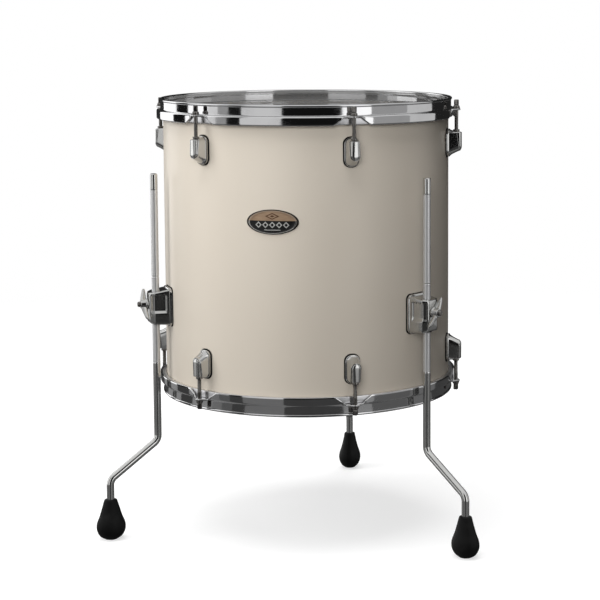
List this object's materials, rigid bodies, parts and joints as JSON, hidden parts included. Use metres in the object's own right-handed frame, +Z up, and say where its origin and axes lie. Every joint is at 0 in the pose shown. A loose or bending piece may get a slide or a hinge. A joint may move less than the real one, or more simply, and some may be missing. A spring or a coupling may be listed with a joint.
{
  "type": "floor tom drum",
  "caption": "Floor tom: round wooden shell with two heads clamped by flanged steel hoops and tension rods, on three height-adjustable bent legs with rubber feet.",
  "frame": {"origin": "on the drum's vertical axis, at the level of the floor that the three feet stand on", "axes": "+Z up along the drum's axis; -Y is the front, where the badge is; +X to the right seen from the front"},
  "size_m": [0.5378, 0.5235, 0.612],
  "materials": {
    "shell_lacquer": "pearl champagne lacquer over maple ply",
    "batter_film": "frosted polyester film",
    "resonant_film": "clear polyester film",
    "head_ring": "satin",
    "hoop_chrome": "polished",
    "lug_chrome": "polished",
    "bracket_chrome": "polished",
    "rod_chrome": "polished",
    "leg_chrome": "polished, knurled along the middle",
    "fastener_steel": "zinc plated",
    "gasket_rubber": "matte",
    "foot_rubber": "matte",
    "sleeve_nylon": "moulded nylon",
    "badge_enamel": "two-tone domed resin in a dark bezel"
  },
  "bodies": {
    "drum": {"shell": "shell_lacquer", "air_vent": "rod_chrome", "air_vent_nut": "fastener_steel", "badge": "badge_enamel", "batter_head_film": "batter_film", "batter_flesh_hoop": "head_ring", "resonant_head_film": "resonant_film", "resonant_flesh_hoop": "head_ring", "batter_hoop": "hoop_chrome", "resonant_hoop": "hoop_chrome", "lug_top_1": "lug_chrome", "lug_top_2": "lug_chrome", "lug_top_3": "lug_chrome", "lug_top_4": "lug_chrome", "lug_top_5": "lug_chrome", "lug_top_6": "lug_chrome", "lug_bottom_1": "lug_chrome", "lug_bottom_2": "lug_chrome", "lug_bottom_3": "lug_chrome", "lug_bottom_4": "lug_chrome", "lug_bottom_5": "lug_chrome", "lug_bottom_6": "lug_chrome", "lug_gaskets": "gasket_rubber", "swivel_nuts": "fastener_steel", "lug_screws": "fastener_steel", "rod_washers": "rod_chrome", "bracket_gaskets": "gasket_rubber", "bracket_screws": "fastener_steel", "leg_bracket_left": "bracket_chrome", "leg_bracket_right": "bracket_chrome", "leg_bracket_rear": "bracket_chrome", "leg_eye_left": "fastener_steel", "leg_eye_right": "fastener_steel", "leg_eye_rear": "fastener_steel"},
    "sleeve_left": {"leg_sleeve_left": "sleeve_nylon"},
    "leg_left": {"leg_left": "leg_chrome", "foot_left": "foot_rubber"},
    "wing_left": {"clamp_wing_left": "bracket_chrome"},
    "sleeve_right": {"leg_sleeve_right": "sleeve_nylon"},
    "leg_right": {"leg_right": "leg_chrome", "foot_right": "foot_rubber"},
    "wing_right": {"clamp_wing_right": "bracket_chrome"},
    "sleeve_rear": {"leg_sleeve_rear": "sleeve_nylon"},
    "leg_rear": {"leg_rear": "leg_chrome", "foot_rear": "foot_rubber"},
    "wing_rear": {"clamp_wing_rear": "bracket_chrome"},
    "rod_top_1": {"tension_rod_top_1": "rod_chrome"},
    "rod_top_2": {"tension_rod_top_2": "rod_chrome"},
    "rod_top_3": {"tension_rod_top_3": "rod_chrome"},
    "rod_top_4": {"tension_rod_top_4": "rod_chrome"},
    "rod_top_5": {"tension_rod_top_5": "rod_chrome"},
    "rod_top_6": {"tension_rod_top_6": "rod_chrome"},
    "rod_bottom_1": {"tension_rod_bottom_1": "rod_chrome"},
    "rod_bottom_2": {"tension_rod_bottom_2": "rod_chrome"},
    "rod_bottom_3": {"tension_rod_bottom_3": "rod_chrome"},
    "rod_bottom_4": {"tension_rod_bottom_4": "rod_chrome"},
    "rod_bottom_5": {"tension_rod_bottom_5": "rod_chrome"},
    "rod_bottom_6": {"tension_rod_bottom_6": "rod_chrome"}
  },
  "joints": [
    {"name": "leg_turn_left", "type": "hinge", "parent": "drum", "child": "sleeve_left", "pos_m": [-0.19182, -0.11075, 0.31], "axis": [0, 0, 1], "range_deg": [-90, 90]},
    {"name": "leg_slide_left", "type": "slide", "parent": "sleeve_left", "child": "leg_left", "axis": [0, 0, 1], "range_m": [-0.15, 0.15]},
    {"name": "clamp_wing_left", "type": "hinge", "parent": "drum", "child": "wing_left", "pos_m": [-0.20785, -0.12, 0.3276], "axis": [-0.866, -0.5, 0], "range_deg": [0, 360]},
    {"name": "leg_turn_right", "type": "hinge", "parent": "drum", "child": "sleeve_right", "pos_m": [0.19182, -0.11075, 0.31], "axis": [0, 0, 1], "range_deg": [-90, 90]},
    {"name": "leg_slide_right", "type": "slide", "parent": "sleeve_right", "child": "leg_right", "axis": [0, 0, 1], "range_m": [-0.15, 0.15]},
    {"name": "clamp_wing_right", "type": "hinge", "parent": "drum", "child": "wing_right", "pos_m": [0.20785, -0.12, 0.3276], "axis": [0.866, -0.5, 0], "range_deg": [0, 360]},
    {"name": "leg_turn_rear", "type": "hinge", "parent": "drum", "child": "sleeve_rear", "pos_m": [0, 0.2215, 0.31], "axis": [0, 0, 1], "range_deg": [-90, 90]},
    {"name": "leg_slide_rear", "type": "slide", "parent": "sleeve_rear", "child": "leg_rear", "axis": [0, 0, 1], "range_m": [-0.15, 0.15]},
    {"name": "clamp_wing_rear", "type": "hinge", "parent": "drum", "child": "wing_rear", "pos_m": [0, 0.24, 0.3276], "axis": [0, 1, 0], "range_deg": [0, 360]},
    {"name": "tension_rod_top_1", "type": "hinge", "parent": "drum", "child": "rod_top_1", "pos_m": [0.10775, -0.18663, 0.6], "axis": [0, 0, 1], "continuous": true},
    {"name": "tension_rod_top_2", "type": "hinge", "parent": "drum", "child": "rod_top_2", "pos_m": [0.2155, 0, 0.6], "axis": [0, 0, 1], "continuous": true},
    {"name": "tension_rod_top_3", "type": "hinge", "parent": "drum", "child": "rod_top_3", "pos_m": [0.10775, 0.18663, 0.6], "axis": [0, 0, 1], "continuous": true},
    {"name": "tension_rod_top_4", "type": "hinge", "parent": "drum", "child": "rod_top_4", "pos_m": [-0.10775, 0.18663, 0.6], "axis": [0, 0, 1], "continuous": true},
    {"name": "tension_rod_top_5", "type": "hinge", "parent": "drum", "child": "rod_top_5", "pos_m": [-0.2155, 0, 0.6], "axis": [0, 0, 1], "continuous": true},
    {"name": "tension_rod_top_6", "type": "hinge", "parent": "drum", "child": "rod_top_6", "pos_m": [-0.10775, -0.18663, 0.6], "axis": [0, 0, 1], "continuous": true},
    {"name": "tension_rod_bottom_1", "type": "hinge", "parent": "drum", "child": "rod_bottom_1", "pos_m": [0.10775, -0.18663, 0.207], "axis": [0, 0, 1], "continuous": true},
    {"name": "tension_rod_bottom_2", "type": "hinge", "parent": "drum", "child": "rod_bottom_2", "pos_m": [0.2155, 0, 0.207], "axis": [0, 0, 1], "continuous": true},
    {"name": "tension_rod_bottom_3", "type": "hinge", "parent": "drum", "child": "rod_bottom_3", "pos_m": [0.10775, 0.18663, 0.207], "axis": [0, 0, 1], "continuous": true},
    {"name": "tension_rod_bottom_4", "type": "hinge", "parent": "drum", "child": "rod_bottom_4", "pos_m": [-0.10775, 0.18663, 0.207], "axis": [0, 0, 1], "continuous": true},
    {"name": "tension_rod_bottom_5", "type": "hinge", "parent": "drum", "child": "rod_bottom_5", "pos_m": [-0.2155, 0, 0.207], "axis": [0, 0, 1], "continuous": true},
    {"name": "tension_rod_bottom_6", "type": "hinge", "parent": "drum", "child": "rod_bottom_6", "pos_m": [-0.10775, -0.18663, 0.207], "axis": [0, 0, 1], "continuous": true}
  ]
}
